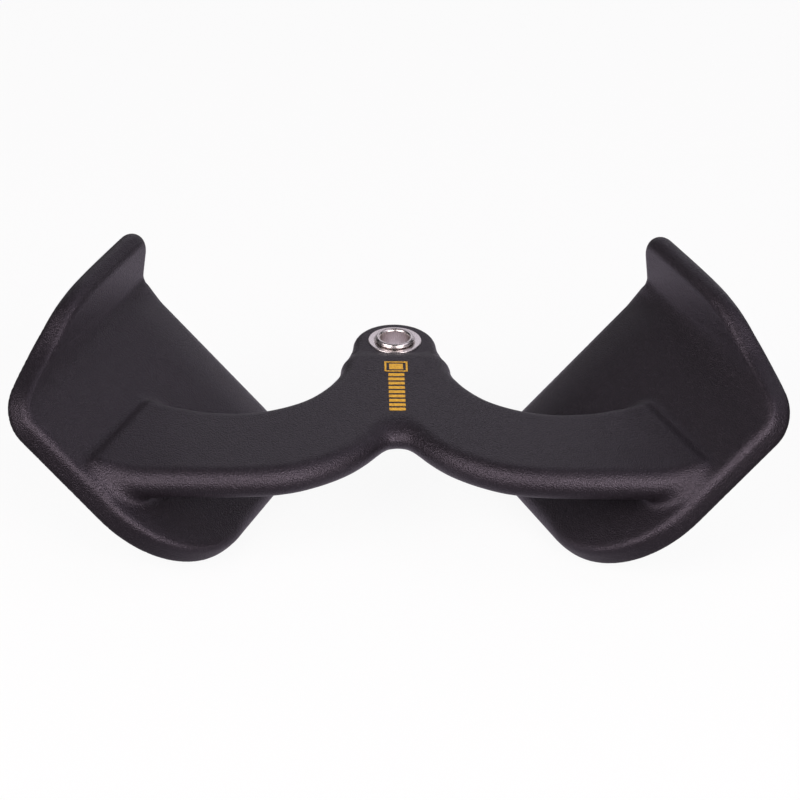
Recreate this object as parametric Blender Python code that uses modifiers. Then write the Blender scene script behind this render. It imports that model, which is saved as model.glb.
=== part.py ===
"""Palm-grip cable handle: a steel skeleton inside one thick moulded coat, with a riveted steel eyelet.

The handle lies as it would on a table. +X runs along its length, +Y points to the eyelet end, +Z is up.
Sizes are in millimetres around the eyelet's centre; MM turns them into metres where a mesh is made.
"""

from math import acos, atan2, ceil, cos, pi, radians, sin, sqrt, tan

import bmesh
import bpy
from mathutils import Matrix, Vector

MM = 0.001
MERGE = 0.01             # points of a drawn shape closer than this are one
CLEARANCE = 0.3          # gap between pieces that touch
CUT_PAST = 5.0           # how far a cutter runs past the faces it opens
CUT_BLOCK = 160.0        # side of the block that trims the spine plate along each palm plate

# coat over the spine: full-round edges, so every outline below is drawn through the centre of the round
SPINE_ROUND = 7.7
LUG_ROUND = 5.3
LUG_CENTRE_RADIUS = 14.9
# outline points across and along, as shares of the lug's centre radius, counted from the eyelet
LUG_NECK_SHARES = [(1.05, -0.40), (1.155, -0.805), (1.24, -1.21), (1.29, -1.68)]
LUG_TAIL_SHARES = (0.60, -2.28)
SHOULDER_SHARES = (1.055, -1.40)
SPINE_REACH = 100.0      # where the arms' edges run straight on to the palm plates
SPINE_DEPTH = 122.0      # eyelet's centre to the line of the arms' front edge
# the spine's two edges, as shares of its reach and its depth
BACK_EDGE_SHARES = [(0.174, 0.193), (0.191, 0.249), (0.209, 0.301), (0.234, 0.346), (0.266, 0.395),
                    (0.314, 0.452), (0.374, 0.508), (0.444, 0.553), (0.53, 0.592), (0.62, 0.619),
                    (0.74, 0.635), (0.87, 0.628), (1.0, 0.61)]
FRONT_EDGE_SHARES = [(1.0, 1.0), (0.8, 1.0), (0.62, 0.99), (0.5, 0.969), (0.41, 0.936), (0.33, 0.895),
                     (0.256, 0.846), (0.192, 0.79), (0.144, 0.738), (0.106, 0.70), (0.06, 0.672),
                     (0.0, 0.662)]
OUTLINE_STEP = 4.5

# palm plates: each lies in its own plane, leaning out from the spine and turned in towards the eyelet end
FACE_CENTRE = (126.0, -93.5, 0.0)
FACE_LEAN = radians(40.0)
FACE_TURN = radians(23.0)
FACE_ROUND = 6.7
FACE_NEAR = -36.0
FACE_FAR = 86.3
FACE_BOTTOM = -61.8
FACE_CREASE = 50.5
FACE_NEAR_BOTTOM_RADIUS = 46.0
FACE_FAR_BOTTOM_RADIUS = 25.0
FACE_FAR_TOP_RADIUS = 3.0
FACE_SHOULDER = 44.8      # height of the near top corner, below the crease
FACE_NEAR_TOP_RADIUS = 15.0
FACE_CREASE_NEAR = -5.0   # where the crease starts to fall to that corner
FACE_CREASE_RADIUS = 30.0
ARM_STOPS_SHORT = 6.0    # the centre of the arm's round end stays this far inside the palm plate's middle

# the lip that turns up along the crease, low at the near corner and full height at the far horn
LIP_BEND = radians(57.0)
LIP_ROUND = 5.5
LIP_HEIGHT = 25.8
LIP_FAR = 87.8
LIP_START = -9.5
LIP_RUN = 85.5           # from the start to the horn's full height
# the lip's rim, as shares of that run and of the lip's height
LIP_RISE_SHARES = [(0.0, -0.058), (0.064, 0.151), (0.158, 0.403), (0.251, 0.624), (0.345, 0.791),
                   (0.462, 0.899), (0.673, 0.957), (1.0, 1.0)]
LIP_STEP = 6.0
LIP_HORN_RADIUS = 6.0

# web that thickens the inner corner below each arm
WEB_RADIUS = 4.0
WEB_NEAR = -24.0
WEB_FAR = 15.0

# steel skeleton
SPINE_STEEL = 5.0
FACE_STEEL = 4.5
SPINE_COVER = 5.0        # coat over the spine plate's edge
FACE_COVER = 5.0         # coat over a palm plate's edge
STEEL_LIP_FOOT = 2.0     # the steel lip's rise starts this much further along than the coat's
STEEL_LIP_FROM = 6.0     # and leaves out the part of it that is lower than this
STEEL_LIP_STEP = 9.0
STEEL_SHOULDER = 38.0    # height where a palm plate's near edge ends and slopes up to the lip
WELD_UPPER_LEG = 5.0
WELD_LOWER_LEG = 10.0
WELD_NEAR = -22.0
WELD_FAR = 14.0

# eyelet: a tube with both ends rolled out over two dished washers
HOLE_RADIUS = 6.95
BARREL_RADIUS = 7.7
ROLL_HALF_WIDTH = 1.2
ROLL_HALF_HEIGHT = 0.8
ROLL_POINTS = 8
WASHER_RADIUS = 12.7
WASHER_FLAT_RADIUS = 9.9
WASHER_THICK = 1.1
WASHER_DISH = 0.4
WASHER_EDGE = 0.3
SEAT_DEPTH = 1.0         # the coat's round seat below each washer
ROUND_STEPS = 48

# how finely arcs are drawn
LUG_STEPS = 12
CORNER_STEP = radians(15.0)
FACE_CORNER_STEP = radians(10.0)
WEB_STEPS = 8
NEARLY_STRAIGHT = radians(89.5)
SHARP_EDGE = radians(35.0)

COAT_COLOUR = (0.030, 0.028, 0.034, 1.0)
STEEL_COLOUR = (0.20, 0.20, 0.21, 1.0)
WELD_COLOUR = (0.30, 0.29, 0.28, 1.0)
EYELET_COLOUR = (0.62, 0.60, 0.58, 1.0)

HANDLE_NAME = "palm_grip_handle"
SIDES = ((1, "right"), (-1, "left"))
LEVELS = ((1, "upper"), (-1, "lower"))


def collection(name):
    made = bpy.data.collections.new(name)
    bpy.context.scene.collection.children.link(made)
    return made


def material(name, colour, roughness, metallic):
    made = bpy.data.materials.new(name)
    made.use_nodes = True
    shader = made.node_tree.nodes["Principled BSDF"]
    shader.inputs["Base Color"].default_value = colour
    shader.inputs["Roughness"].default_value = roughness
    shader.inputs["Metallic"].default_value = metallic
    made.diffuse_color = colour
    return made


def smooth_path(points, step):
    """Catmull-Rom curve through the points, with a sample about every step."""
    path = []
    ends = [points[0]] + list(points) + [points[-1]]
    for a, b, c, d in zip(ends, ends[1:], ends[2:], ends[3:]):
        length = sqrt((c[0] - b[0]) ** 2 + (c[1] - b[1]) ** 2)
        count = max(1, ceil(length / step))
        for i in range(count):
            t = i / count
            path.append(tuple(
                q + t * ((r - p) + t * ((2 * p - 5 * q + 4 * r - s) + t * (3 * q - p - 3 * r + s))) / 2
                for p, q, r, s in zip(a, b, c, d)))
    path.append(tuple(points[-1]))
    return path


def rounded(corners, turn=CORNER_STEP):
    """Closed outline through (x, y, radius) corners, with an arc at each corner that has a radius."""
    outline = []
    for i, (x, y, radius) in enumerate(corners):
        here = Vector((x, y))
        before = (Vector(corners[i - 1][:2]) - here).normalized()
        after = (Vector(corners[(i + 1) % len(corners)][:2]) - here).normalized()
        half = acos(max(-1.0, min(1.0, before.dot(after)))) / 2
        if radius <= 0 or half > NEARLY_STRAIGHT:
            outline.append((x, y))
            continue
        centre = here + (before + after).normalized() * radius / sin(half)
        start = here + before * radius / tan(half) - centre
        finish = here + after * radius / tan(half) - centre
        swing = atan2(start.x * finish.y - start.y * finish.x, start.dot(finish))
        count = max(1, ceil(abs(swing) / turn))
        for k in range(count + 1):
            angle = swing * k / count
            outline.append((centre.x + start.x * cos(angle) - start.y * sin(angle),
                            centre.y + start.x * sin(angle) + start.y * cos(angle)))
    return outline


def solid_from_outline(name, outline, frame, half, roll, target, paint=None, segments=3):
    """Flat plate on a 2D curve, this half thickness either side of the frame's plane, with a rolled edge."""
    curve = bpy.data.curves.new(name, "CURVE")
    curve.dimensions = "2D"
    curve.fill_mode = "BOTH"
    curve.extrude = (half - roll) * MM
    curve.bevel_depth = roll * MM
    curve.bevel_resolution = segments
    spline = curve.splines.new("POLY")
    spline.points.add(len(outline) - 1)
    for point, (x, y) in zip(spline.points, outline):
        point.co = (x * MM, y * MM, 0.0, 1.0)
    spline.use_cyclic_u = True
    drawn = bpy.data.objects.new(name + "_outline", curve)
    target.objects.link(drawn)
    bpy.context.view_layer.update()
    mesh = bpy.data.meshes.new_from_object(drawn.evaluated_get(bpy.context.evaluated_depsgraph_get()))
    bpy.data.objects.remove(drawn)
    return finished(name, mesh, frame, target, paint)


def finished(name, mesh, frame, target, paint=None):
    """Weld the mesh, set it in the handle's frame with its faces outward, and make its object."""
    mesh.transform(frame)
    shape = bmesh.new()
    shape.from_mesh(mesh)
    bmesh.ops.remove_doubles(shape, verts=shape.verts, dist=MERGE * MM)
    bmesh.ops.recalc_face_normals(shape, faces=shape.faces)
    shape.to_mesh(mesh)
    shape.free()
    mesh.name = name
    mesh.materials.clear()
    if paint:
        mesh.materials.append(paint)
    mesh.shade_smooth()
    mesh.set_sharp_from_angle(angle=SHARP_EDGE)
    made = bpy.data.objects.new(name, mesh)
    target.objects.link(made)
    return made


def prism(name, section, length, frame, target, paint=None):
    """Straight bar of the given (x, y) section along the frame's Z, centred on its origin."""
    return solid_from_outline(name, section, frame, length / 2, 0.0, target, paint, 0)


def turned(name, profile, target, paint):
    """Ring turned about Z from a closed (radius, height) profile, with the Screw modifier."""
    mesh = bpy.data.meshes.new(name)
    count = len(profile)
    around = [(i, (i + 1) % count) for i in range(count)]
    mesh.from_pydata([(r * MM, 0.0, z * MM) for r, z in profile], around, [])
    made = bpy.data.objects.new(name, mesh)
    target.objects.link(made)
    screw = made.modifiers.new("turn", "SCREW")
    screw.steps = screw.render_steps = ROUND_STEPS
    screw.use_merge_vertices = True
    screw.merge_threshold = MERGE * MM
    screw.use_normal_calculate = True
    bpy.context.view_layer.update()
    ring = bpy.data.meshes.new_from_object(made.evaluated_get(bpy.context.evaluated_depsgraph_get()))
    bpy.data.objects.remove(made)
    return finished(name, ring, Matrix.Identity(4), target, paint)


def as_guide(shape):
    shape.hide_render = True
    shape.display_type = "WIRE"


def face_axes(side):
    """Unit axes of one palm plate: along it to the eyelet end, up it, and out of its palm side."""
    along = Vector((-side * sin(FACE_TURN), cos(FACE_TURN), 0.0))
    up = Vector((side * cos(FACE_LEAN) * cos(FACE_TURN), cos(FACE_LEAN) * sin(FACE_TURN), sin(FACE_LEAN)))
    return along, up, up.cross(along) * side


def frame_of(x_axis, y_axis, z_axis, origin):
    frame = Matrix((x_axis, y_axis, z_axis)).transposed().to_4x4()
    frame.translation = Vector(origin) * MM
    return frame


def plane_frame(side, along, up, out, origin):
    """Right-handed frame of a plate drawn in (along, up), with the two swapped on the side that mirrors."""
    if side > 0:
        return frame_of(up, along, out, origin)
    return frame_of(along, up, out, origin)


def in_frame(side, outline):
    return [(up, along) for along, up in outline] if side > 0 else list(outline)


def offset_path(path, distance):
    """The open path moved to its left by the distance."""
    moved = []
    for i, (x, y) in enumerate(path):
        before, after = path[max(i - 1, 0)], path[min(i + 1, len(path) - 1)]
        run = Vector((after[0] - before[0], after[1] - before[1])).normalized()
        moved.append((x - run.y * distance, y + run.x * distance))
    return moved


def whole(right):
    """A closed outline from its right half, which starts and ends on the centre line."""
    return right + [(-x, y) for x, y in reversed(right[1:-1])]


def arm_end(y):
    """X where the spine's middle plane meets the right palm plate's middle plane at this Y."""
    return FACE_CENTRE[0] - (y - FACE_CENTRE[1]) * tan(FACE_TURN)


def placed(shares, across, along):
    return [(x * across, y * along) for x, y in shares]


def back_edge():
    return placed(BACK_EDGE_SHARES, SPINE_REACH, -SPINE_DEPTH)


def front_edge():
    return placed(FRONT_EDGE_SHARES, SPINE_REACH, -SPINE_DEPTH)


def lip_rise(step):
    points = placed(LIP_RISE_SHARES, LIP_RUN, LIP_HEIGHT)
    return smooth_path([(LIP_START + x, y) for x, y in points], step)


def lug_turn(radius, steps):
    """Arc about the eyelet, from straight behind it round to the right."""
    angles = [pi / 2 * i / LUG_STEPS for i in range(steps + 1)]
    return [(radius * sin(a), radius * cos(a)) for a in angles]


def lug_outline():
    turn = lug_turn(LUG_CENTRE_RADIUS, LUG_STEPS)
    corners = placed(LUG_NECK_SHARES + [LUG_TAIL_SHARES], LUG_CENTRE_RADIUS, LUG_CENTRE_RADIUS)
    neck = smooth_path([turn[-1]] + corners, OUTLINE_STEP)
    return whole(turn[:-1] + neck + [(0.0, corners[-1][1])])


def spine_outline():
    shoulder = placed([SHOULDER_SHARES], LUG_CENTRE_RADIUS, LUG_CENTRE_RADIUS)
    back = smooth_path(shoulder + back_edge(), OUTLINE_STEP)
    front = smooth_path(front_edge(), OUTLINE_STEP)
    ends = [(arm_end(y) - ARM_STOPS_SHORT, y) for y in (back[-1][1], front[0][1])]
    return whole([(0.0, shoulder[0][1])] + back + ends + front)


def steel_spine_outline(extra=0.0):
    """The spine plate, SPINE_COVER inside the coat's edge, with arms that run on through the palm plates."""
    ring = lug_turn(LUG_CENTRE_RADIUS + LUG_ROUND - SPINE_COVER + extra, LUG_STEPS + 1)
    reach = SPINE_ROUND - SPINE_COVER + extra
    back = offset_path(smooth_path(back_edge(), OUTLINE_STEP), reach)
    front = offset_path(smooth_path(front_edge(), OUTLINE_STEP), reach)
    ends = [(arm_end(y) + CUT_PAST, y) for y in (back[-1][1], front[0][1])]
    return whole(ring + back + ends + front[:-1] + [(0.0, front[-1][1])])


def face_outline():
    corners = [(FACE_NEAR, FACE_BOTTOM, FACE_NEAR_BOTTOM_RADIUS),
               (FACE_FAR, FACE_BOTTOM, FACE_FAR_BOTTOM_RADIUS),
               (FACE_FAR, FACE_CREASE, FACE_FAR_TOP_RADIUS),
               (FACE_CREASE_NEAR, FACE_CREASE, FACE_CREASE_RADIUS),
               (FACE_NEAR, FACE_SHOULDER, FACE_NEAR_TOP_RADIUS)]
    return rounded(corners, FACE_CORNER_STEP)


def lip_outline():
    rise = lip_rise(LIP_STEP)
    horn = rounded([rise[-1] + (0,), (LIP_FAR, LIP_HEIGHT, LIP_HORN_RADIUS), (LIP_FAR, rise[0][1], 0)])
    return rise[:-1] + horn


def lip_axes(up, inward):
    return up * cos(LIP_BEND) + inward * sin(LIP_BEND), inward * cos(LIP_BEND) - up * sin(LIP_BEND)


def face_centre(side):
    return Vector((side * FACE_CENTRE[0], FACE_CENTRE[1], FACE_CENTRE[2]))


def steel_face(name, side, extra, target, paint=None):
    """One bent plate: a sheet for the palm and one for the lip, sharing the crease, thickened by Solidify."""
    along, up, inward = face_axes(side)
    lip_up = lip_axes(up, inward)[0]
    centre = face_centre(side)
    grow = FACE_ROUND - FACE_COVER + extra
    lip = [(s + STEEL_LIP_FOOT - extra, v + extra) for s, v in lip_rise(STEEL_LIP_STEP) if v > STEEL_LIP_FROM]
    far = FACE_FAR + grow
    lip += rounded([lip[-1] + (0,), (far, LIP_HEIGHT + extra, LIP_HORN_RADIUS), (far, 0.0, 0)])[1:-1]
    foot = (lip[0][0] - STEEL_LIP_FOOT - 2 * extra, FACE_CREASE)
    corners = [(FACE_NEAR - grow, FACE_BOTTOM - grow, FACE_NEAR_BOTTOM_RADIUS + grow),
               (far, FACE_BOTTOM - grow, FACE_FAR_BOTTOM_RADIUS + grow),
               (far, FACE_CREASE, 0),
               foot + (0,),
               (FACE_NEAR - grow, STEEL_SHOULDER + extra, FACE_NEAR_TOP_RADIUS + grow)]
    palm = rounded(corners, FACE_CORNER_STEP)
    shape = bmesh.new()
    flat = {point: shape.verts.new((centre + along * point[0] + up * point[1]) * MM) for point in palm}
    crease_far = flat[(far, FACE_CREASE)]
    shape.faces.new([flat[point] for point in palm])
    raised = [shape.verts.new((centre + up * FACE_CREASE + along * s + lip_up * v) * MM) for s, v in lip]
    shape.faces.new([crease_far, flat[foot]] + raised)
    mesh = bpy.data.meshes.new(name)
    bmesh.ops.recalc_face_normals(shape, faces=shape.faces)
    shape.to_mesh(mesh)
    shape.free()
    made = bpy.data.objects.new(name, mesh)
    if paint:
        mesh.materials.append(paint)
    target.objects.link(made)
    shell = made.modifiers.new("thickness", "SOLIDIFY")
    shell.thickness = (FACE_STEEL + 2 * extra) * MM
    shell.offset = 0.0
    shell.use_even_offset = True
    shell.use_quality_normals = True
    return made


def join_frame(side, near, far):
    """Frame across an arm's join: X outward, Y up, Z along the palm plate, midway between near and far."""
    outward = Vector((side * cos(FACE_TURN), sin(FACE_TURN), 0.0))
    along = face_axes(side)[0]
    centre = face_centre(side) + along * (near + far) / 2
    upward = Vector((0.0, 0.0, 1.0))
    return frame_of(outward, upward, outward.cross(upward), centre)


def face_line(offset, height):
    """Outward distance, in the join's frame, of a plane offset from a palm plate's middle, at this height."""
    return height / tan(FACE_LEAN) - offset / sin(FACE_LEAN)


def weld(name, side, level, extra, target, paint=None):
    """Triangular bead in the corner between the spine plate and a palm plate: level +1 above, -1 below."""
    gap = CLEARANCE - extra
    height = level * (SPINE_STEEL / 2 + gap)
    corner = Vector((face_line(FACE_STEEL / 2 + gap, height), height))
    half = (pi - FACE_LEAN) / 2 if level > 0 else FACE_LEAN / 2
    leg = (WELD_UPPER_LEG if level > 0 else WELD_LOWER_LEG) + extra * (1 / sin(half) + 1) / cos(half)
    along_face = Vector((cos(FACE_LEAN), sin(FACE_LEAN))) * level
    section = [tuple(corner), tuple(corner + along_face * leg), (corner.x - leg, corner.y)]
    length = WELD_FAR - WELD_NEAR + 2 * extra
    return prism(name, section, length, join_frame(side, WELD_NEAR, WELD_FAR), target, paint)


def web(name, side, target, paint):
    """Filler with a hollow round face in the corner below an arm, where the coat is thick."""
    corner = face_line(FACE_ROUND, -SPINE_ROUND)
    touch = WEB_RADIUS / tan(FACE_LEAN / 2)
    middle = Vector((corner - touch, -SPINE_ROUND - WEB_RADIUS))
    inside = SPINE_ROUND / 2
    section = [(corner - touch, -inside), (face_line(0.0, -inside), -inside)]
    angles = [pi / 2 - (pi - FACE_LEAN) * k / WEB_STEPS for k in range(WEB_STEPS + 1)]
    arc = [(middle.x + WEB_RADIUS * cos(a), middle.y + WEB_RADIUS * sin(a)) for a in angles]
    below = Vector(arc[-1]) + Vector((sin(FACE_LEAN), -cos(FACE_LEAN))) * FACE_ROUND
    section += [tuple(below)] + arc[::-1]
    return prism(name, section, WEB_FAR - WEB_NEAR, join_frame(side, WEB_NEAR, WEB_FAR), target, paint)


def disc(name, radius, bottom, top, target):
    bpy.ops.mesh.primitive_cylinder_add(vertices=ROUND_STEPS, radius=radius * MM, depth=(top - bottom) * MM,
                                        location=(0.0, 0.0, (top + bottom) / 2 * MM))
    made = bpy.context.object
    made.name = made.data.name = name
    for group in list(made.users_collection):
        group.objects.unlink(made)
    target.objects.link(made)
    return made


def trim_block(name, side, offset, target):
    """Block that covers everything beyond a palm plate's plane, from the given offset on its palm side."""
    along, up, inward = face_axes(side)
    centre = face_centre(side) + inward * (offset - CUT_BLOCK / 2)
    bpy.ops.mesh.primitive_cube_add(size=CUT_BLOCK * MM)
    made = bpy.context.object
    made.name = made.data.name = name
    made.data.transform(plane_frame(side, along, up, inward, centre))
    for group in list(made.users_collection):
        group.objects.unlink(made)
    target.objects.link(made)
    return made


def boolean(body, operation, group):
    cut = body.modifiers.new(operation.lower(), "BOOLEAN")
    cut.operation = operation
    cut.operand_type = "COLLECTION"
    cut.collection = group
    cut.solver = "EXACT"
    return cut


def make_coat(parts, shapes, cores, paint):
    """The moulding: rounded plates joined, then hollowed by the skeleton and opened by the eyelet's bore."""
    here = Matrix.Identity(4)
    coat = solid_from_outline("rubber_coat", spine_outline(), here, SPINE_ROUND, SPINE_ROUND, parts, paint)
    solid_from_outline("coat_lug", lug_outline(), here, LUG_ROUND, LUG_ROUND, shapes, paint, 2)
    for side, label in SIDES:
        along, up, inward = face_axes(side)
        lip_up, lip_in = lip_axes(up, inward)
        centre = face_centre(side)
        palm = plane_frame(side, along, up, inward, centre)
        lip = plane_frame(side, along, lip_up, lip_in, centre + up * FACE_CREASE)
        solid_from_outline("coat_face_" + label, in_frame(side, face_outline()), palm,
                           FACE_ROUND, FACE_ROUND, shapes, paint)
        solid_from_outline("coat_lip_" + label, in_frame(side, lip_outline()), lip,
                           LIP_ROUND, LIP_ROUND, shapes, paint)
        web("coat_web_" + label, side, shapes, paint)
        steel_face("core_face_" + label, side, CLEARANCE, cores)
        for level, height in LEVELS:
            weld("core_weld_" + height + "_" + label, side, level, CLEARANCE, cores)
    core = spine_plate("core_spine", CLEARANCE, 0.0, cores)
    disc("core_bore", BARREL_RADIUS + CLEARANCE, -LUG_ROUND - CUT_PAST, LUG_ROUND + CUT_PAST, cores)
    seat = LUG_ROUND - SEAT_DEPTH
    disc("core_seat_top", WASHER_RADIUS + CLEARANCE, seat, LUG_ROUND + CUT_PAST, cores)
    disc("core_seat_bottom", WASHER_RADIUS + CLEARANCE, -LUG_ROUND - CUT_PAST, -seat, cores)
    boolean(coat, "UNION", shapes)
    boolean(coat, "DIFFERENCE", cores)
    return coat


def spine_plate(name, extra, offset, target, paint=None):
    """The flat plate, with its arms trimmed along both palm plates."""
    thickness = SPINE_STEEL + 2 * extra
    plate = prism(name, steel_spine_outline(extra), thickness, Matrix.Identity(4), target, paint)
    trims = collection(name + "_trims")
    for side, label in SIDES:
        as_guide(trim_block(name + "_trim_" + label, side, offset, trims))
    if not extra:
        as_guide(disc(name + "_hole", BARREL_RADIUS + CLEARANCE, -CUT_PAST, CUT_PAST, trims))
    boolean(plate, "DIFFERENCE", trims)
    return plate


def washer(name, level, target, paint):
    """Dished ring: a flat outer band, and an inner slope down to the hole."""
    bottom = LUG_ROUND - SEAT_DEPTH + CLEARANCE
    top = bottom + WASHER_THICK
    hole = BARREL_RADIUS + CLEARANCE
    profile = [(WASHER_RADIUS, top - WASHER_EDGE), (WASHER_RADIUS, bottom), (hole, bottom),
               (hole, top - WASHER_DISH), (WASHER_FLAT_RADIUS, top), (WASHER_RADIUS - WASHER_EDGE, top)]
    return turned(name, [(r, z * level) for r, z in profile], target, paint)


def barrel(name, target, paint):
    """Tube whose ends are rolled out into rounded rims over the washers."""
    middle = HOLE_RADIUS + ROLL_HALF_WIDTH
    washer_top = LUG_ROUND - SEAT_DEPTH + CLEARANCE + WASHER_THICK - WASHER_DISH
    height = washer_top + CLEARANCE + ROLL_HALF_HEIGHT
    start = acos((BARREL_RADIUS - middle) / ROLL_HALF_WIDTH)
    rim = []
    for k in range(ROLL_POINTS + 1):
        angle = -start + (start + pi) * k / ROLL_POINTS
        rim.append((middle + ROLL_HALF_WIDTH * cos(angle), height + ROLL_HALF_HEIGHT * sin(angle)))
    return turned(name, rim + [(r, -z) for r, z in reversed(rim)], target, paint)


def make_all():
    for old in list(bpy.data.objects):
        bpy.data.objects.remove(old)
    parts = collection(HANDLE_NAME)
    shapes = collection("coat_shapes")
    cores = collection("coat_cores")
    coat_paint = material("moulded_rubber", COAT_COLOUR, 0.55, 0.0)
    steel_paint = material("mild_steel", STEEL_COLOUR, 0.5, 1.0)
    weld_paint = material("weld_metal", WELD_COLOUR, 0.6, 1.0)
    eyelet_paint = material("polished_steel", EYELET_COLOUR, 0.22, 1.0)
    make_coat(parts, shapes, cores, coat_paint)
    spine_plate("spine_plate", 0.0, FACE_STEEL / 2 + CLEARANCE, parts, steel_paint)
    for side, label in SIDES:
        steel_face(label + "_palm_plate", side, 0.0, parts, steel_paint)
        for level, height in LEVELS:
            weld(label + "_" + height + "_weld", side, level, 0.0, parts, weld_paint)
    barrel("eyelet_barrel", parts, eyelet_paint)
    washer("eyelet_washer_top", 1, parts, eyelet_paint)
    washer("eyelet_washer_bottom", -1, parts, eyelet_paint)
    for group in (shapes, cores):
        for shape in group.objects:
            as_guide(shape)
    place(parts)


def place(parts):
    """Hang everything on one empty that sets the coat's lowest edge on Z 0 and its middle over the origin."""
    bpy.context.view_layer.update()
    coat = parts.objects["rubber_coat"].evaluated_get(bpy.context.evaluated_depsgraph_get())
    corners = [coat.matrix_world @ Vector(c) for c in coat.bound_box]
    everything = list(bpy.data.objects)
    root = bpy.data.objects.new("root", None)
    parts.objects.link(root)
    depths = [c.y for c in corners]
    root.location = (0.0, -(min(depths) + max(depths)) / 2, -min(c.z for c in corners))
    for made in everything:
        made.parent = root


make_all()
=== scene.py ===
# Palm-grip cable handle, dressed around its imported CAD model
# outlines are in millimetres around the eyelet's centre, as the part draws them,
# and every finished piece is moved from there to the CAD eyelet

import bpy
import numpy as np
from mathutils import Matrix, Vector


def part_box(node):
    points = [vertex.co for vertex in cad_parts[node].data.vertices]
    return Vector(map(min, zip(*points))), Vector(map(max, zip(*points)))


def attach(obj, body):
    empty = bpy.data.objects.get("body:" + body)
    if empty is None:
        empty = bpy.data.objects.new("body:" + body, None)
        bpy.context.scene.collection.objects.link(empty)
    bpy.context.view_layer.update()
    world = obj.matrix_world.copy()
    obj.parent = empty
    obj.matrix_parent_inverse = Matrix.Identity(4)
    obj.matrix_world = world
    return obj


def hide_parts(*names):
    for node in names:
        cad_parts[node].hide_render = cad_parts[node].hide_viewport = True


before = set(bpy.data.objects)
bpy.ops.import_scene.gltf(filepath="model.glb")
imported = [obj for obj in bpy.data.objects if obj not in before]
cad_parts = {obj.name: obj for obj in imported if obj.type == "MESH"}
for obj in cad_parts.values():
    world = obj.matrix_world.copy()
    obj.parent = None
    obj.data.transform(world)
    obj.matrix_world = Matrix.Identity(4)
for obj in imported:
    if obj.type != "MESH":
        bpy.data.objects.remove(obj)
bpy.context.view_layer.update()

mm = 0.001       # metres
barrelLow, barrelHigh = (np.array(corner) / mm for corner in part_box("eyelet_barrel"))
eyeletCentre = (barrelLow + barrelHigh) / 2
eyeletCentre[0] = 0.0       # the handle is symmetric about x = 0


def unit(vector):
    # the vector at length 1
    return np.asarray(vector, float) / np.linalg.norm(vector)


def ease(low, high, values):
    # smooth step: 0 below low, 1 above high, 3t^2 - 2t^3 between
    t = np.clip((values - low) / (high - low), 0, 1)
    return t * t * (3 - 2 * t)


def smoothPath(points, step):
    # Catmull-Rom curve through the points, a sample about every step
    points = np.asarray(points, float)
    ends = np.vstack([points[:1], points, points[-1:]])
    path = []
    for a, b, c, d in zip(ends, ends[1:], ends[2:], ends[3:]):
        count = max(1, int(np.ceil(np.linalg.norm(c - b) / step)))
        t = (np.arange(count) / count)[:, None]
        path.append(b + t * ((c - a) + t * ((2 * a - 5 * b + 4 * c - d) + t * (3 * b - a - 3 * c + d))) / 2)
    return np.vstack(path + [points[-1:]])


def roundedCorners(corners, arcStep=np.radians(4)):
    # closed outline through (x, y, radius) corners, with an arc tangent to both sides at each of them;
    # a corner stays sharp where its radius is 0 or its sides run nearly straight on
    straight = np.radians(89.5)
    outline = []
    for i, (x, y, radius) in enumerate(corners):
        here = np.array([x, y])
        before = unit(np.array(corners[i - 1][:2]) - here)
        after = unit(np.array(corners[(i + 1) % len(corners)][:2]) - here)
        half = np.arccos(np.clip(before @ after, -1, 1)) / 2
        if radius <= 0 or half > straight:
            outline.append(here[None])
            continue
        centre = here + unit(before + after) * radius / np.sin(half)
        start = here + before * radius / np.tan(half) - centre
        finish = here + after * radius / np.tan(half) - centre
        swing = np.arctan2(start[0] * finish[1] - start[1] * finish[0], start @ finish)
        angle = np.linspace(0, swing, max(2, int(np.ceil(abs(swing) / arcStep)) + 1))
        outline.append(np.stack([centre[0] + start[0] * np.cos(angle) - start[1] * np.sin(angle),
                                 centre[1] + start[0] * np.sin(angle) + start[1] * np.cos(angle)], 1))
    return np.vstack(outline)


def distanceMap(outline, step=0.5, margin=16.0):
    # signed distance to a closed outline on a square grid: the least distance to a side, minus inside,
    # where a ray along x crosses an odd number of sides
    low = outline.min(0) - margin
    shape = np.ceil((outline.max(0) + margin - low) / step).astype(int) + 1
    x = low[0] + step * np.arange(shape[0])
    y = low[1] + step * np.arange(shape[1])
    nearest = np.full(shape, np.inf)
    crossings = np.zeros(shape, int)
    for a, b in zip(outline, np.roll(outline, -1, 0)):
        side = b - a
        if not side.any():
            continue
        px, py = x[:, None] - a[0], y[None, :] - a[1]
        t = np.clip((px * side[0] + py * side[1]) / (side @ side), 0, 1)
        nearest = np.minimum(nearest, (px - t * side[0]) ** 2 + (py - t * side[1]) ** 2)
        if side[1]:
            beyond = (a[1] > y) != (b[1] > y)
            crossings += beyond[None, :] & (px < (py / side[1]) * side[0])
    return low, step, np.sqrt(nearest) * np.where(crossings % 2, -1.0, 1.0)


def readMap(distances, x, y):
    # bilinear value of the map, held at its border, which is a hair inside the last grid line
    low, step, grid = distances
    hair = 0.001
    lastU, lastV = np.array(grid.shape) - 1 - hair
    u = np.clip((x - low[0]) / step, 0, lastU)
    v = np.clip((y - low[1]) / step, 0, lastV)
    i, j = u.astype(int), v.astype(int)
    u, v = u - i, v - j
    return ((grid[i, j] * (1 - u) + grid[i + 1, j] * u) * (1 - v)
            + (grid[i, j + 1] * (1 - u) + grid[i + 1, j + 1] * u) * v)


def plate(edge, height, radius, reach, square=2.0):
    # distance-like value of a plate, zero on its surface: edge is the distance to the line through its
    # round's centre, and the rim is a half ellipse, radius high and reach wide, or squarer where the
    # power is above 2: depth^square + (height / radius)^square = 1
    depth = np.clip(1 - (radius - edge) / reach, 0, None)
    return radius * ((depth ** square + np.abs(height / radius) ** square) ** (1 / square) - 1)


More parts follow.
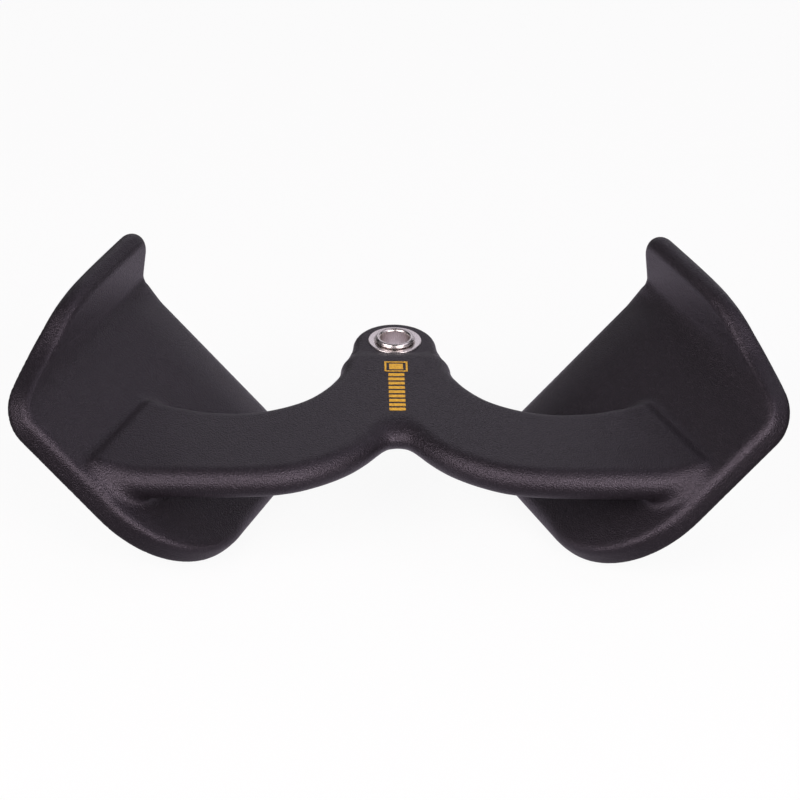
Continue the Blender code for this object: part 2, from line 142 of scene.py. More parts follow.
def blended(a, b, width):
    # the lesser of two distances, with a fillet where they are near each other: a quarter of the width
    # times the square of the share, which is 1 where they are equal and 0 from one width apart
    share = np.clip(width - np.abs(a - b), 0, None) / width
    return np.minimum(a, b) - share ** 2 * width / 4


def meshFrom(name, points, faces, material, smooth=True):
    # an object from whole arrays of points in metres and faces
    mesh = bpy.data.meshes.new(name)
    mesh.from_pydata(np.asarray(points, float).tolist(), [], np.asarray(faces, int).tolist())
    mesh.materials.append(material)
    mesh.polygons.foreach_set("use_smooth", np.full(len(mesh.polygons), smooth))
    mesh.update()
    piece = bpy.data.objects.new(name, mesh)
    bpy.context.scene.collection.objects.link(piece)
    return piece


def newMaterial(name, colour, roughness, metallic=0.0):
    # a plain material, with its node tree and its shader for more
    material = bpy.data.materials.new(name)
    material.use_nodes = True
    shader = material.node_tree.nodes["Principled BSDF"]
    shader.inputs["Base Color"].default_value = (*colour, 1)
    shader.inputs["Roughness"].default_value = roughness
    shader.inputs["Metallic"].default_value = metallic
    return material, material.node_tree, shader


rubber = {
    "colour": (0.0020, 0.0015, 0.0020),
    "worn": (0.0070, 0.0055, 0.0070),        # the paler parts of the colour
    "roughness": (0.34, 0.52),               # on a pebble's top and in the pits between pebbles
    "grain": 1400.0,                         # pebbles per metre
    "fineGrain": 1.3,                        # how much finer the noise over them is
    "grainDepth": 0.00021,                   # metres
    "pebbleSoftness": 0.6, "pitDistance": 0.8,
    "tintRange": (0.35, 0.65),               # of the noise, between the two colours
    "shine": 0.65, "shineTint": (0.96, 0.84, 1.0),
}


def pebbledRubber():
    # pebbles with fine noise over them give the bump, the noise the colour, the pebbles the roughness
    material, tree, shader = newMaterial("pebbled_rubber", rubber["colour"], rubber["roughness"][1])
    node, link = tree.nodes.new, tree.links.new
    place = node("ShaderNodeTexCoord")
    pebbles = node("ShaderNodeTexVoronoi")
    pebbles.feature = "SMOOTH_F1"
    pebbles.inputs["Scale"].default_value = rubber["grain"]
    pebbles.inputs["Smoothness"].default_value = rubber["pebbleSoftness"]
    pebbles.inputs["Randomness"].default_value = 1.0
    fine = node("ShaderNodeTexNoise")
    fine.inputs["Scale"].default_value = rubber["grain"] * rubber["fineGrain"]
    fine.inputs["Detail"].default_value = 1.0
    for texture in (pebbles, fine):
        link(place.outputs["Object"], texture.inputs["Vector"])
    height = node("ShaderNodeMath")
    height.operation = "SUBTRACT"
    link(fine.outputs["Fac"], height.inputs[0])
    link(pebbles.outputs["Distance"], height.inputs[1])
    bump = node("ShaderNodeBump")
    bump.inputs["Strength"].default_value = 1.0
    bump.inputs["Distance"].default_value = rubber["grainDepth"]
    link(height.outputs[0], bump.inputs["Height"])
    link(bump.outputs["Normal"], shader.inputs["Normal"])
    tint = node("ShaderNodeValToRGB")
    colours = (rubber["colour"], rubber["worn"])
    for stop, where, colour in zip(tint.color_ramp.elements, rubber["tintRange"], colours):
        stop.position = where
        stop.color = (*colour, 1)
    link(fine.outputs["Fac"], tint.inputs["Fac"])
    link(tint.outputs["Color"], shader.inputs["Base Color"])
    rough = node("ShaderNodeMapRange")
    rough.inputs["From Max"].default_value = rubber["pitDistance"]
    rough.inputs["To Min"].default_value, rough.inputs["To Max"].default_value = rubber["roughness"]
    link(pebbles.outputs["Distance"], rough.inputs["Value"])
    link(rough.outputs["Result"], shader.inputs["Roughness"])
    shader.inputs["Specular IOR Level"].default_value = rubber["shine"]
    shader.inputs["Specular Tint"].default_value = (*rubber["shineTint"], 1)
    return material


steel = {
    # colour, roughness, strength of the marks and the axis they run along
    "polished_eyelet_steel": ((0.70, 0.655, 0.64), 0.27, 0.08, "Z"),
    "cut_plate_steel": ((0.30, 0.30, 0.31), 0.42, 0.4, "X"),
    "weld_bead_steel": ((0.33, 0.31, 0.29), 0.5, 0.6, "X"),
    "marksAcross": 900.0, "marksAlong": 60.0, "marksDepth": 0.00005,      # marks per metre, metres
    "marksDetail": 4.0, "roughnessRange": (0.7, 1.4),
}


def brushedSteel(name):
    # fine marks along one axis: noise stretched on the object's own coordinates
    colour, roughness, scratches, grainAlong = steel[name]
    material, tree, shader = newMaterial(name, colour, roughness, 1.0)
    node, link = tree.nodes.new, tree.links.new
    place = node("ShaderNodeTexCoord")
    stretch = node("ShaderNodeMapping")
    stretch.inputs["Scale"].default_value = [steel["marksAlong" if axis == grainAlong else "marksAcross"]
                                             for axis in "XYZ"]
    marks = node("ShaderNodeTexNoise")
    marks.inputs["Scale"].default_value = 1.0
    marks.inputs["Detail"].default_value = steel["marksDetail"]
    link(place.outputs["Object"], stretch.inputs["Vector"])
    link(stretch.outputs["Vector"], marks.inputs["Vector"])
    rough = node("ShaderNodeMapRange")
    rough.inputs["To Min"].default_value = roughness * steel["roughnessRange"][0]
    rough.inputs["To Max"].default_value = roughness * steel["roughnessRange"][1]
    link(marks.outputs["Fac"], rough.inputs["Value"])
    link(rough.outputs["Result"], shader.inputs["Roughness"])
    bump = node("ShaderNodeBump")
    bump.inputs["Strength"].default_value = scratches
    bump.inputs["Distance"].default_value = steel["marksDepth"]
    link(marks.outputs["Fac"], bump.inputs["Height"])
    link(bump.outputs["Normal"], shader.inputs["Normal"])
    return material


yellow = {
    "plain": (0.72, 0.40, 0.02), "thin": (0.55, 0.28, 0.015), "full": (0.78, 0.44, 0.025),
    "roughness": 0.5,
    "patches": 900.0, "patchRange": (0.3, 0.6),     # patches per metre, and the noise between thin and full
}


def yellowPrint():
    # thin and full paint in patches
    material, tree, shader = newMaterial("yellow_print", yellow["plain"], yellow["roughness"])
    node, link = tree.nodes.new, tree.links.new
    place = node("ShaderNodeTexCoord")
    worn = node("ShaderNodeTexNoise")
    worn.inputs["Scale"].default_value = yellow["patches"]
    tint = node("ShaderNodeValToRGB")
    colours = (yellow["thin"], yellow["full"])
    for stop, where, colour in zip(tint.color_ramp.elements, yellow["patchRange"], colours):
        stop.position = where
        stop.color = (*colour, 1)
    link(place.outputs["Object"], worn.inputs["Vector"])
    link(worn.outputs["Fac"], tint.inputs["Fac"])
    link(tint.outputs["Color"], shader.inputs["Base Color"])
    return material


rubberSkin = pebbledRubber()
polishedSteel = brushedSteel("polished_eyelet_steel")
plateSteel = brushedSteel("cut_plate_steel")
beadSteel = brushedSteel("weld_bead_steel")
markPaint = yellowPrint()
print("materials: rubber, three steels and paint")


# The moulding is one skin: spine, lug, palm plates and lips run into each other with fillets, and no single
# grid can follow that. So each of them is a distance-like value that is zero on its surface, worked out on
# whole arrays, and the skin is meshed where their blend passes zero.
spine = {
    "round": 7.7, "lugRound": 5.3, "lugRadius": 14.9,
    # outline of the right half: the neck and shoulder in lug radii, the rest as shares of reach and depth
    "lugNeck": [(1.05, -0.40), (1.155, -0.805), (1.24, -1.21), (1.29, -1.68), (0.60, -2.28)],
    "shoulder": (1.055, -1.40),
    "reach": 100.0, "depth": 122.0,
    "back": [(0.174, 0.193), (0.191, 0.249), (0.209, 0.301), (0.234, 0.346), (0.266, 0.395),
             (0.314, 0.452), (0.374, 0.508), (0.444, 0.553), (0.53, 0.592), (0.62, 0.619),
             (0.74, 0.635), (0.87, 0.628), (1.0, 0.61)],
    "front": [(1.0, 1.0), (0.8, 1.0), (0.62, 0.99), (0.5, 0.969), (0.41, 0.936), (0.33, 0.895),
              (0.256, 0.846), (0.192, 0.79), (0.144, 0.738), (0.106, 0.70), (0.06, 0.672), (0.0, 0.662)],
    "armStopsShort": 6.0,                         # of the palm plate's middle plane
    "notchReach": 7.0, "notchWidth": 13.0,        # how much wider the rim's slope is at the notch
    "notchEase": (60.0, 78.0),                    # where that starts and is full, towards the front
    "lugBlend": 4.0,
    # how much thicker the arm gets at the palm plate, from how far away, and how far on past the plate
    "flare": 0.42, "flareFrom": 19.0, "flareMost": 1.3,
    "flareBelow": 0.25,      # the share of that on its underside, which must stay inside the palm plate
}
palm = {
    "centre": (126.0, -93.5, 0.0), "lean": np.radians(40.0), "turn": np.radians(23.0),
    "round": 6.7, "lipRound": 5.5,
    # the flat pattern, seen along the plate and up it from its centre
    "near": -34.5, "far": 92.4, "bottom": -60.6, "crease": 50.5,
    "nearBottomRadius": 46.0, "farBottomRadius": 25.0, "shoulder": 44.6, "nearTopRadius": 15.0,
    "farCorner": (93.6, 37.0, 9.0), "notch": (87.6, 48.6, 7.0),
    "lipFar": 88.2, "lipTop": 74.9, "hornRadius": 6.5,
    # the lip's rim, as (along, up) points past the bend
    "lipRim": [(-24, 48.2), (-18, 50.5), (-12, 52.8), (-6, 55.3), (0, 58.2), (6, 61.8), (12, 65.8),
               (18, 69.0), (24, 71.1), (31, 72.6), (42, 73.7), (56, 74.4), (76, 74.9)],
    # the bend is softer at the low end of the lip
    "bend": np.radians(57.0), "bendRadius": (27.0, 14.5), "bendEase": (-25.0, 88.0),
    # slope of the palm side towards the far rim, as (along, slope) points; it ends below the lip
    "farSlope": [(0, 0.0), (60, 0.01), (69, 0.08), (78, 0.19), (87, 0.27), (98, 0.40)],
    "farSlopeEnds": (34.0, 52.0),
    "farReach": 3.0, "farReachEase": (60.0, 86.0),     # how much wider the far rim's slope is
    "squareRim": 2.2, "squareEase": (-12.0, 25.0),     # how much squarer the near rim is
    "armBlend": 6.5,
}
coat = {
    "name": "rubber_coat_skin",
    "bore": 8.6,
    "cell": 1.3, "margin": 2.3, "sideMargin": 2.0,      # the grid, and how far it goes past the CAD box
    "pathStep": 1.5, "neckStep": 1.0, "lugPoints": 40,  # how finely the outlines are drawn
}

turn, lean = palm["turn"], palm["lean"]
palmAlong = np.array([-np.sin(turn), np.cos(turn), 0.0])
palmUp = np.array([np.cos(lean) * np.cos(turn), np.cos(lean) * np.sin(turn), np.sin(lean)])
palmIn = np.cross(palmUp, palmAlong)


def spineMap():
    # the spine's closed outline, through the centre of its rim's round, with the arms running into the
    # palm plates: x is reach times the point's share, y is minus depth times its share
    scale = np.array([spine["reach"], -spine["depth"]])
    shoulder = np.array([spine["shoulder"]]) * spine["lugRadius"]
    back = smoothPath(np.vstack([shoulder, np.array(spine["back"]) * scale]), coat["pathStep"])
    front = smoothPath(np.array(spine["front"]) * scale, coat["pathStep"])
    tips = [(palm["centre"][0] - (y - palm["centre"][1]) * np.tan(turn) - spine["armStopsShort"], y)
            for y in (back[-1, 1], front[0, 1])]
    right = np.vstack([[(0, shoulder[0, 1])], back, tips, front])
    return distanceMap(np.vstack([right, right[-2:0:-1] * (-1, 1)]))


def lugMap():
    # the lug's closed outline: half a circle round the eyelet, then the neck down into the spine
    angle = np.linspace(0, np.pi / 2, coat["lugPoints"])
    ring = spine["lugRadius"] * np.stack([np.sin(angle), np.cos(angle)], 1)
    neck = np.vstack([ring[-1:], np.array(spine["lugNeck"]) * spine["lugRadius"]])
    neck = smoothPath(neck, coat["neckStep"])
    right = np.vstack([ring[:-1], neck, [(0, neck[-1, 1])]])
    return distanceMap(np.vstack([right, right[-2:0:-1] * (-1, 1)]))


def palmMap():
    # palm and lip as one flat pattern, before the lip is folded up along the bend
    corners = [(palm["near"], palm["bottom"], palm["nearBottomRadius"]),
               (palm["far"], palm["bottom"], palm["farBottomRadius"]),
               palm["farCorner"], palm["notch"],
               (palm["lipFar"], palm["lipTop"], palm["hornRadius"])]
    corners += [(*point, 0) for point in smoothPath(palm["lipRim"], coat["pathStep"])[::-1]]
    corners += [(palm["near"], palm["shoulder"], palm["nearTopRadius"])]
    return distanceMap(roundedCorners(corners))


def farFallTable():
    # half of the palm side's fall: the integral of its slope, from the near rim to the far one
    start, step = -60.0, 0.5        # it starts well outside the near rim
    at = np.arange(start, palm["farSlope"][-1][0], step)
    slope = np.interp(at, *np.array(palm["farSlope"]).T)
    return at, np.cumsum(slope) * step / 2


spineEdge, lugEdge, palmEdge, farFall = spineMap(), lugMap(), palmMap(), farFallTable()


def spineValue(x, y, z):
    # spine and lug as plates, joined by a fillet; z is divided by 1 + flare where the arm gets thicker,
    # and the flare grows with the square of the way to the palm plate
    notch = np.exp(-(x / spine["notchWidth"]) ** 2) * ease(*spine["notchEase"], -y)
    reach = spine["round"] + spine["notchReach"] * notch
    away = ((palm["centre"][0] - x) * palmAlong[1] + (y - palm["centre"][1]) * palmAlong[0]
            - palm["round"])
    toPalm = np.clip(1 - away / spine["flareFrom"], 0, spine["flareMost"])
    flare = spine["flare"] * toPalm ** 2 * np.where(z > 0, 1.0, spine["flareBelow"])
    body = plate(readMap(spineEdge, x, y), z / (1 + flare), spine["round"], reach)
    lug = plate(readMap(lugEdge, x, y), z, spine["lugRound"], spine["lugRound"])
    return blended(body, lug, spine["lugBlend"])


def palmValue(x, y, z):
    # the palm plate is unrolled onto its pattern: flat up to the bend, then along the bend's arc, by
    # radius times angle, then flat up the lip; there it is a plate as thick as palm and lip are
    px, py, pz = x - palm["centre"][0], y - palm["centre"][1], z - palm["centre"][2]
    along = px * palmAlong[0] + py * palmAlong[1]
    up = px * palmUp[0] + py * palmUp[1] + pz * palmUp[2]
    out = px * palmIn[0] + py * palmIn[1] + pz * palmIn[2]
    soft, tight = palm["bendRadius"]
    bend, radius = palm["bend"], soft + (tight - soft) * ease(*palm["bendEase"], along)
    start = palm["crease"] - radius * np.tan(bend / 2)
    rise, drop = up - start, radius - out
    angle = np.arctan2(rise, drop)
    lipRise = rise * np.cos(bend) - drop * np.sin(bend) + radius * np.sin(bend)
    lipOut = radius - rise * np.sin(bend) - drop * np.cos(bend)
    inArc, onLip = (angle > 0) & (angle < bend), angle >= bend
    pattern = np.where(onLip, start + radius * bend + lipRise - radius * np.sin(bend), up)
    pattern = np.where(inArc, start + radius * angle, pattern)
    height = np.where(onLip, lipOut, np.where(inArc, radius - np.hypot(rise, drop), out))
    lipShare = ease(start, start + radius * bend, pattern)
    thick = palm["round"] + (palm["lipRound"] - palm["round"]) * lipShare
    below = 1 - ease(*palm["farSlopeEnds"], pattern)
    fall = np.interp(along, *farFall) * below
    edge = readMap(palmEdge, along, pattern) - fall
    reach = thick - fall + palm["farReach"] * ease(*palm["farReachEase"], along) * below
    square = 2 + palm["squareRim"] * (1 - ease(*palm["squareEase"], along))
    return plate(edge, height + fall, thick - fall, reach, square)


def coatValue(x, y, z):
    # the moulding: spine and palm plate joined by a fillet, less the eyelet's bore, mirrored across x = 0;
    # the spine ends at the palm plate's middle plane, so nothing of it comes out behind
    x = np.abs(x)
    fromPalm = [x - palm["centre"][0], y - palm["centre"][1], z - palm["centre"][2]]
    behind = -(fromPalm[0] * palmIn[0] + fromPalm[1] * palmIn[1] + fromPalm[2] * palmIn[2])
    body = blended(np.maximum(spineValue(x, y, z), behind), palmValue(x, y, z), palm["armBlend"])
    return np.maximum(body, coat["bore"] - np.hypot(x, y))


def surfaceOf(value, low, high, cell):
    # where the value passes zero between two grid points, a quad joins the four cells around them;
    # each cell's corner is the mean of its crossings, then slides down the gradient onto zero
    slab = 32                                # columns of the grid worked out at a time
    slides, probe, leastSlope = 3, 0.05, 0.05
    counts = np.ceil((high - low) / cell).astype(int) + 1
    axes = [low[i] + cell * np.arange(counts[i]) for i in range(3)]
    field = np.empty(counts)
    for i in range(0, counts[0], slab):
        columns = axes[0][i:i + slab, None, None]
        field[i:i + slab] = value(columns, axes[1][None, :, None], axes[2][None, None, :])
    quads, cells, crossings = [], [], []
    for axis in range(3):
        near = np.moveaxis(field, axis, 0)[:-1]
        far = np.moveaxis(field, axis, 0)[1:]
        found = np.argwhere((near < 0) != (far < 0))
        a, b = near[tuple(found.T)], far[tuple(found.T)]
        spot = found.astype(float)
        spot[:, 0] += a / (a - b)
        order = np.argsort([axis] + [k for k in range(3) if k != axis])
        found, spot = found[:, order], spot[:, order]
        one, two = np.eye(3, dtype=int)[[(axis + 1) % 3, (axis + 2) % 3]]
        around = np.stack([found - one - two, found - two, found, found - one], 1)
        around[a > 0] = around[a > 0][:, ::-1]
        ids = around @ np.array([counts[1] * counts[2], counts[2], 1])
        quads.append(ids)
        cells.append(ids.ravel())
        crossings.append(np.repeat(spot, 4, 0))
    index = np.unique(np.concatenate(cells), return_inverse=True)[1]
    crossings = np.vstack(crossings)
    total = np.bincount(index)
    points = np.stack([np.bincount(index, crossings[:, k]) / total for k in range(3)], 1) * cell + low
    faces = index.reshape(-1, 4)
    for _ in range(slides):
        here = value(*points.T)
        slope = np.stack([value(*(points + probe * axis).T) - value(*(points - probe * axis).T)
                          for axis in np.eye(3)], 1) / (2 * probe)
        move = slope * (here / np.maximum((slope ** 2).sum(1), leastSlope))[:, None]
        points -= np.clip(move, -cell / 2, cell / 2)
    return points, faces


def topOfCoat(x, y):
    # height of the coat's upper face above each (x, y): slides down until the value is zero
    slides = 12
    z = np.full(len(x), spine["round"] + 1.0)
    for _ in range(slides):
        z -= coatValue(x, y, z)
    return z


boxLow, boxHigh = (np.array(corner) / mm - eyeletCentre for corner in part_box("rubber_coat"))
span = np.ceil((boxHigh[0] + coat["sideMargin"]) / coat["cell"]) * coat["cell"]
gridLow = np.array([-span, boxLow[1] - coat["margin"], boxLow[2] - coat["margin"]])
gridHigh = np.array([span, boxHigh[1] + coat["margin"], boxHigh[2] + coat["margin"]])
coatPoints, coatFaces = surfaceOf(coatValue, gridLow, gridHigh, coat["cell"])
coatSkin = meshFrom(coat["name"], (coatPoints + eyeletCentre) * mm, coatFaces, rubberSkin)
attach(coatSkin, "root")
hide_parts("rubber_coat")
print("moulding:", len(coatFaces) * 2, "triangles")


# radii and heights from the eyelet's centre
eyelet = {
    "steps": 160,
    "hole": 6.95, "tube": 7.7, "collar": 9.35, "collarTop": 7.7, "collarLow": 5.2, "rollTuck": 1.1,
    "flange": 12.9, "flangeTop": 5.8, "flangeDip": 5.2, "flangeUnder": 4.55, "lip": 0.45,
    # radii of the slope's top, of a point near its foot, and of its foot; the first lies belowTop under the
    # flange's top, the second aboveDip over the dip
    "slopeRadii": (11.4, 10.2, 9.2), "belowTop": 0.12, "aboveDip": 0.3,
    "tubeGap": 0.2, "undercut": 0.1, "pathStep": 0.25,
    # degrees that each round turns, and its points
    "lipRound": (0, 100, 9), "rollRound": (180, 0, 25), "tuckRound": (0, -60, 8),
}


def turnedRing(name, profile, level, material, steps):
    # a closed (radius, height) profile turned about the eyelet's axis: x and y are radius times the
    # angle's cosine and sine, z is height times level, which is 1 for the top and -1 for the bottom
    profile = np.asarray(profile, float)
    angle = 2 * np.pi * np.arange(steps) / steps
    grid = np.stack([profile[None, :, 0] * np.cos(angle)[:, None],
                     profile[None, :, 0] * np.sin(angle)[:, None],
                     np.broadcast_to(profile[None, :, 1] * level, (steps, len(profile)))], 2)
    i, j = np.meshgrid(np.arange(steps), np.arange(len(profile)), indexing="ij")
    nextI, nextJ = (i + 1) % steps, (j + 1) % len(profile)
    corners = [i * len(profile) + j, nextI * len(profile) + j,
               nextI * len(profile) + nextJ, i * len(profile) + nextJ]
    faces = np.stack(corners, 2).reshape(-1, 4)
    if level < 0:
        return meshFrom(name, (grid.reshape(-1, 3) + eyeletCentre) * mm, faces, material)
    return meshFrom(name, (grid.reshape(-1, 3) + eyeletCentre) * mm, faces[:, ::-1], material)


def arc(centre, radii, start, finish, count):
    # points on an ellipse, from one angle in degrees to another
    angle = np.radians(np.linspace(start, finish, count))
    return np.stack([centre[0] + radii[0] * np.cos(angle), centre[1] + radii[1] * np.sin(angle)], 1)


def flangeProfile():
    # rounded outer lip, a slope down to the dip beside the collar, and a flat underside
    lip, dip = eyelet["lip"], eyelet["flangeDip"]
    rim = arc((eyelet["flange"] - lip, eyelet["flangeTop"] - lip), (lip, lip), *eyelet["lipRound"])
    inner = eyelet["tube"] + eyelet["tubeGap"]
    high, low, foot = eyelet["slopeRadii"]
    slope = smoothPath([rim[-1], (high, eyelet["flangeTop"] - eyelet["belowTop"]),
                        (low, dip + eyelet["aboveDip"]), (foot, dip), (inner, dip)], eyelet["pathStep"])
    under = [(inner, eyelet["flangeUnder"]),
             (eyelet["flange"] - eyelet["undercut"], eyelet["flangeUnder"])]
    return np.vstack([rim, slope[1:], under])


def barrelProfile():
    # straight wall inside, rolled over into a collar at each end, with the roll's edge tucked back in
    tuck, low = eyelet["rollTuck"], eyelet["collarLow"]
    middle = ((eyelet["hole"] + eyelet["collar"]) / 2, low + tuck)
    half = (eyelet["collar"] - eyelet["hole"]) / 2
    roll = arc(middle, (half, eyelet["collarTop"] - low - tuck), *eyelet["rollRound"])
    edge = arc(middle, (half, tuck), *eyelet["tuckRound"])
    upper = np.vstack([roll, edge, [(eyelet["tube"], low)]])
    lower = upper[::-1] * (1, -1)
    return np.vstack([upper, lower])


barrelPiece = turnedRing("eyelet_collar", barrelProfile(), 1, polishedSteel, eyelet["steps"])
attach(barrelPiece, "root")
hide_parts("eyelet_barrel")
for level, label in ((1, "top"), (-1, "bottom")):
    flangeName = "eyelet_flange_" + label
    flangePiece = turnedRing(flangeName, flangeProfile(), level, polishedSteel, eyelet["steps"])
    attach(flangePiece, "root")
    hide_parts("eyelet_washer_" + label)
print("eyelet: collar and two flanges")


# the hidden skeleton keeps its CAD shapes
for name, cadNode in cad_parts.items():
    if name == "rubber_coat":
        look = rubberSkin
    elif name.startswith("eyelet"):
        look = polishedSteel
    else:
        look = beadSteel if "weld" in name else plateSteel
    cadNode.data.materials.clear()
    cadNode.data.materials.append(look)
print("skeleton: materials on", len(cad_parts), "CAD nodes")


# plain yellow marks on the spine
marks = {
    "top": -25.5, "frame": (11.0, 9.6), "line": 0.9, "inset": 2.2,
    "bars": 9, "barWidth": 7.6, "barHeight": 2.4, "gap": 1.65,
    "lift": 0.08, "thick": 0.1,
}


def barBlocks(blocks, low, high):
    # one closed slab per (x0, x1, y0, y1) block, its eight corners as a whole array
    blocks = np.asarray(blocks, float)
    x = blocks[:, [0, 1, 1, 0]]
    y = blocks[:, [2, 2, 3, 3]]
    flat = np.stack([np.concatenate([x, x], 1), np.concatenate([y, y], 1),
                     np.broadcast_to([low] * 4 + [high] * 4, (len(blocks), 8))], 2)
    corners = np.array([[3, 2, 1, 0], [4, 5, 6, 7], [0, 1, 5, 4], [1, 2, 6, 5], [2, 3, 7, 6], [3, 0, 4, 7]])
    faces = (corners[None] + 8 * np.arange(len(blocks))[:, None, None]).reshape(-1, 4)
    return flat.reshape(-1, 3), faces


def markBlocks():
    # a frame of four lines round a square, and a row of bars towards the front
    wide, deep = marks["frame"][0] / 2, marks["frame"][1]
    line, top, inset = marks["line"], marks["top"], marks["inset"]
    blocks = [(-wide, wide, top - line, top), (-wide, wide, top - deep, top - deep + line),
              (-wide, -wide + line, top - deep, top), (wide - line, wide, top - deep, top),
              (-wide + inset, wide - inset, top - deep + inset, top - inset)]
    half = marks["barWidth"] / 2
    y = top - deep - marks["gap"]
    for _ in range(marks["bars"]):
        blocks.append((-half, half, y - marks["barHeight"], y))
        y -= marks["barHeight"] + marks["gap"]
    return blocks


markPoints, markFaces = barBlocks(markBlocks(), -marks["thick"], marks["lift"])
markPoints[:, 2] += topOfCoat(markPoints[:, 0], markPoints[:, 1])
markPiece = meshFrom("spine_marks", (markPoints + eyeletCentre) * mm, markFaces, markPaint, False)
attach(markPiece, "root")
print("marks:", len(markFaces), "faces")


# degrees, the distance in millimetres, and pixels of a square picture: the focal length, the place of
# the eyelet's centre and the picture's side
view = {
    "yaw": 1.565, "pitch": 28.977, "roll": 1.062, "distance": 1451.67,
    "focal": 2986.9, "eyelet": (394.59, 350.1), "picture": 800,
    "sensor": 36.0, "farthest": 50,       # the sensor in millimetres, the farthest thing seen in metres
}


def makeCamera():
    # looks at the eyelet from the photo's side, which stands off the picture's middle by a lens shift
    yaw, pitch, roll = np.radians([view["yaw"], view["pitch"], view["roll"]])
    forward = np.array([np.sin(yaw) * np.cos(pitch), np.cos(yaw) * np.cos(pitch), -np.sin(pitch)])
    right = np.array([np.cos(yaw), -np.sin(yaw), 0.0])
    up = np.cross(right, forward)
    right, up = np.cos(roll) * right + np.sin(roll) * up, np.cos(roll) * up - np.sin(roll) * right
    spot = (eyeletCentre - forward * view["distance"]) * mm
    data = bpy.data.cameras.new("photo_camera")
    data.sensor_width = view["sensor"]
    data.lens = view["focal"] / view["picture"] * view["sensor"]
    data.shift_x = (view["picture"] / 2 - view["eyelet"][0]) / view["picture"]
    data.shift_y = (view["eyelet"][1] - view["picture"] / 2) / view["picture"]
    data.clip_end = view["farthest"]
    camera = bpy.data.objects.new("photo_camera", data)
    camera.matrix_world = Matrix(np.column_stack([right, up, -forward]).tolist()).to_4x4()
    camera.location = Vector(spot)
    bpy.context.scene.collection.objects.link(camera)
    bpy.context.scene.camera = camera


def softbox(name, azimuth, elevation, size, power, colour):
    # square lamp aimed at the handle; azimuth runs from the back towards the right
    azimuth, elevation = np.radians([azimuth, elevation])
    level = np.cos(elevation)
    away = Vector((level * np.sin(azimuth), level * np.cos(azimuth), np.sin(elevation)))
    data = bpy.data.lights.new(name, "AREA")
    data.shape = "SQUARE"
    data.size = size
    data.energy = power
    data.color = colour
    lamp = bpy.data.objects.new(name, data)
    lamp.location = away * studio["lampDistance"] + Vector(studio["lampAim"])
    lamp.rotation_euler = (-away).to_track_quat("-Z", "Y").to_euler()
    bpy.context.scene.collection.objects.link(lamp)


def seenDirectly(tree):
    # 1 for camera, glossy and transmission rays, 0 for the rays that light the object
    node, link = tree.nodes.new, tree.links.new
    path = node("ShaderNodeLightPath")
    first, both = node("ShaderNodeMath"), node("ShaderNodeMath")
    first.operation = both.operation = "MAXIMUM"
    link(path.outputs["Is Camera Ray"], first.inputs[0])
    link(path.outputs["Is Glossy Ray"], first.inputs[1])
    link(first.outputs[0], both.inputs[0])
    link(path.outputs["Is Transmission Ray"], both.inputs[1])
    return path, both.outputs[0]


studio = {
    # how bright the room looks in reflections: dark, with a pale sweep low behind the handle
    "sweep": (0.0, 1.0, -1.3), "room": [(0.0, 0.02), (0.70, 0.02), (0.78, 0.15), (0.84, 0.32)],
    # painted light: the floor glows in reflections as a pool round this spot, in its own tint, bright out
    # to the first radius and dark from the second
    "pool": (0.0, 0.12), "poolRadii": (0.10, 0.30), "poolLevels": (0.85, 0.05),
    "poolTint": (0.95, 0.86, 1.0),
    "fill": (0.95, 0.93, 1.0), "fillStrength": 0.05,
    "floorSide": 6.0, "floorDrop": 0.0002,     # metres; it lies just below the handle's lowest point
    "floorColour": (0.86, 0.86, 0.86), "floorRoughness": 0.8,
    "floorGlow": 0.92,       # share of the floor that stays white under the shadow
    "lampDistance": 1.4, "lampAim": (0, -0.04, 0.04),
    "cool": (0.94, 0.89, 1.0), "warm": (1.0, 0.92, 0.94),
    # azimuth and elevation in degrees, size in metres, power in watts, colour
    "lamps": {
        "right_softbox": (92, 48, 0.90, 2.6, "cool"),
        "right_high_softbox": (75, 62, 0.80, 1.3, "cool"),
        "left_softbox": (-132, 30, 1.15, 19.0, "warm"),
        "left_side_softbox": (-92, 48, 0.90, 0.6, "cool"),
        "front_softbox": (146, 30, 0.88, 11.0, "warm"),
        "front_low_softbox": (150, 15, 0.90, 9.0, "warm"),
        "back_softbox": (0, 30, 0.80, 1.8, "cool"),
        "back_right_softbox": (32, 8, 0.60, 1.05, "cool"),
        "back_left_softbox": (-32, 8, 0.60, 0.14, "cool"),
    },
}


def whiteToCamera(tree, path):
    # white for camera rays, and socket A's colour for all others
    white = tree.nodes.new("ShaderNodeMix")
    white.data_type = "RGBA"
    white.inputs["B"].default_value = (1, 1, 1, 1)
    tree.links.new(path.outputs["Is Camera Ray"], white.inputs["Factor"])
    return white


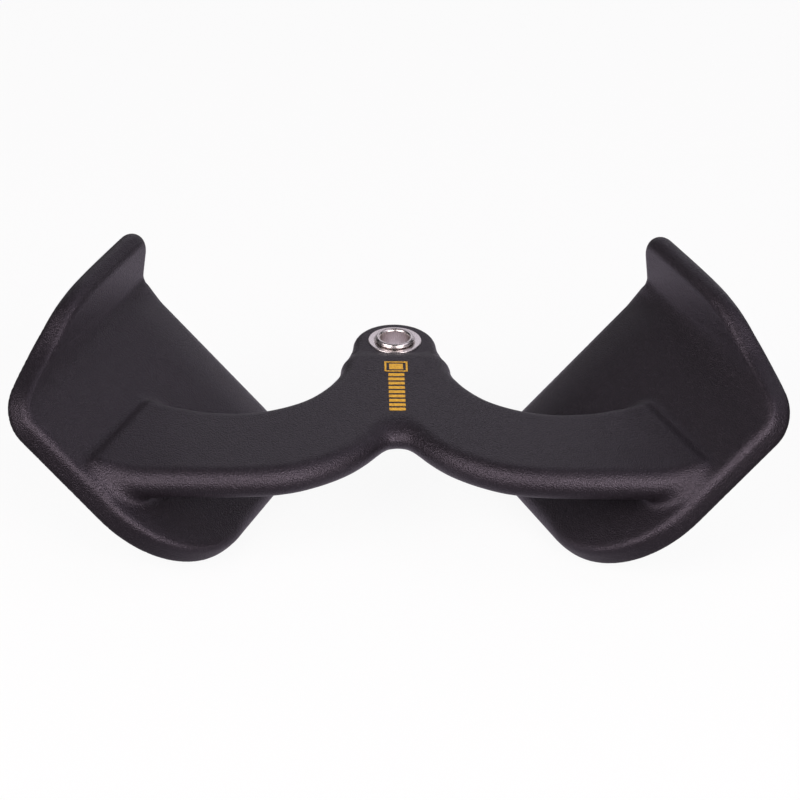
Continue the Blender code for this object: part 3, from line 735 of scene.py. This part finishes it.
def makeWorld():
    # a weak fill lights the handle; reflections see the dark room, and the camera sees white
    world = bpy.data.worlds.new("studio")
    bpy.context.scene.world = world
    world.use_nodes = True
    tree = world.node_tree
    node, link = tree.nodes.new, tree.links.new
    output, soft = tree.nodes["World Output"], tree.nodes["Background"]
    soft.inputs["Color"].default_value = (*studio["fill"], 1)
    soft.inputs["Strength"].default_value = studio["fillStrength"]
    path, direct = seenDirectly(tree)
    place, sweep = node("ShaderNodeTexCoord"), node("ShaderNodeVectorMath")
    sweep.operation = "DOT_PRODUCT"
    sweep.inputs[1].default_value = studio["sweep"]
    toRamp, room = node("ShaderNodeMapRange"), node("ShaderNodeValToRGB")
    toRamp.inputs["From Min"].default_value = -1.0
    link(place.outputs["Generated"], sweep.inputs[0])
    link(sweep.outputs["Value"], toRamp.inputs["Value"])
    link(toRamp.outputs["Result"], room.inputs["Fac"])
    stops = room.color_ramp.elements
    while len(stops) < len(studio["room"]):
        stops.new(1.0)
    for stop, (where, level) in zip(stops, studio["room"]):
        stop.position = where
        stop.color = (level, level, level, 1)
    white = whiteToCamera(tree, path)
    link(room.outputs["Color"], white.inputs["A"])
    seen, mix = node("ShaderNodeBackground"), node("ShaderNodeMixShader")
    link(white.outputs["Result"], seen.inputs["Color"])
    link(direct, mix.inputs["Fac"])
    link(soft.outputs[0], mix.inputs[1])
    link(seen.outputs[0], mix.inputs[2])
    link(mix.outputs[0], output.inputs["Surface"])


def makeFloor():
    # pale floor: its own shading, lifted to white where the camera sees it, and a painted pool of light
    # round a spot where a reflection sees it
    material, tree, shader = newMaterial("white_floor", studio["floorColour"], studio["floorRoughness"])
    shader.inputs["Specular IOR Level"].default_value = 0.0
    node, link = tree.nodes.new, tree.links.new
    path, direct = seenDirectly(tree)
    share, glow, mix = node("ShaderNodeMath"), node("ShaderNodeEmission"), node("ShaderNodeMixShader")
    share.operation = "MULTIPLY"
    share.inputs[1].default_value = studio["floorGlow"]
    link(direct, share.inputs[0])
    # painted light: the glow that reflections see fades with the distance from the pool's centre
    place, away = node("ShaderNodeTexCoord"), node("ShaderNodeVectorMath")
    fade, lit = node("ShaderNodeMapRange"), node("ShaderNodeMath")
    away.operation = "DISTANCE"
    away.inputs[1].default_value = (*studio["pool"], 0.0)
    fade.interpolation_type = "SMOOTHSTEP"
    fade.inputs["From Min"].default_value, fade.inputs["From Max"].default_value = studio["poolRadii"]
    fade.inputs["To Min"].default_value, fade.inputs["To Max"].default_value = studio["poolLevels"]
    lit.operation = "MAXIMUM"
    link(place.outputs["Object"], away.inputs[0])
    link(away.outputs["Value"], fade.inputs["Value"])
    link(path.outputs["Is Camera Ray"], lit.inputs[0])
    link(fade.outputs["Result"], lit.inputs[1])
    link(lit.outputs[0], glow.inputs["Strength"])
    white = whiteToCamera(tree, path)
    white.inputs["A"].default_value = (*studio["poolTint"], 1)
    link(white.outputs["Result"], glow.inputs["Color"])
    link(share.outputs[0], mix.inputs["Fac"])
    link(shader.outputs[0], mix.inputs[1])
    link(glow.outputs[0], mix.inputs[2])
    link(mix.outputs[0], tree.nodes["Material Output"].inputs["Surface"])
    half, drop = studio["floorSide"] / 2, studio["floorDrop"]
    points = [(-half, -half, -drop), (half, -half, -drop), (half, half, -drop), (-half, half, -drop)]
    meshFrom("floor", points, [(0, 1, 2, 3)], material, False)


makeCamera()
makeWorld()
makeFloor()
for lampName, lamp in studio["lamps"].items():
    softbox(lampName, *lamp[:-1], studio[lamp[-1]])
bpy.context.scene.view_settings.view_transform = "Standard"
print("studio: floor, lamps and camera")
